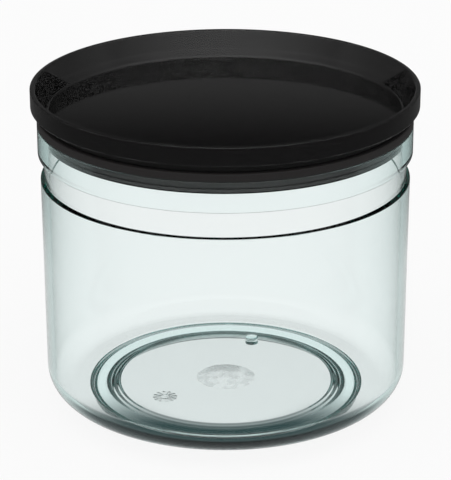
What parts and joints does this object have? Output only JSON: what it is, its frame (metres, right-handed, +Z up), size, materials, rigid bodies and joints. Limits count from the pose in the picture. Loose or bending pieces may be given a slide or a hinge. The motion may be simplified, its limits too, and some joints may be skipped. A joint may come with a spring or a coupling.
{
  "type": "lidded storage jar",
  "caption": "Round clear plastic storage jar on a low foot ring, with a grooved neck and a dark push-in lid with a flanged, lipped seal, for keeping dry food.",
  "frame": {"origin": "on the jar's axis, on the surface that the foot ring stands on", "axes": "+Z up along the jar's axis, +Y away from the viewer, +X to the viewer's right"},
  "size_m": [0.1252, 0.1252, 0.1091],
  "materials": {
    "clear_plastic": "clear, polished in the mould, faint green tint",
    "smoke_plastic": "smoke grey, see-through where thin, glossy",
    "seal_rubber": "soft, satin, dark grey"
  },
  "bodies": {
    "jar": {"jar": "clear_plastic"},
    "lid": {"lid": "smoke_plastic", "seal_ring": "seal_rubber"}
  },
  "joints": [
    {"name": "lid_lift", "type": "slide", "parent": "jar", "child": "lid", "axis": [0, 0, 1], "range_m": [0, 0.1]}
  ]
}
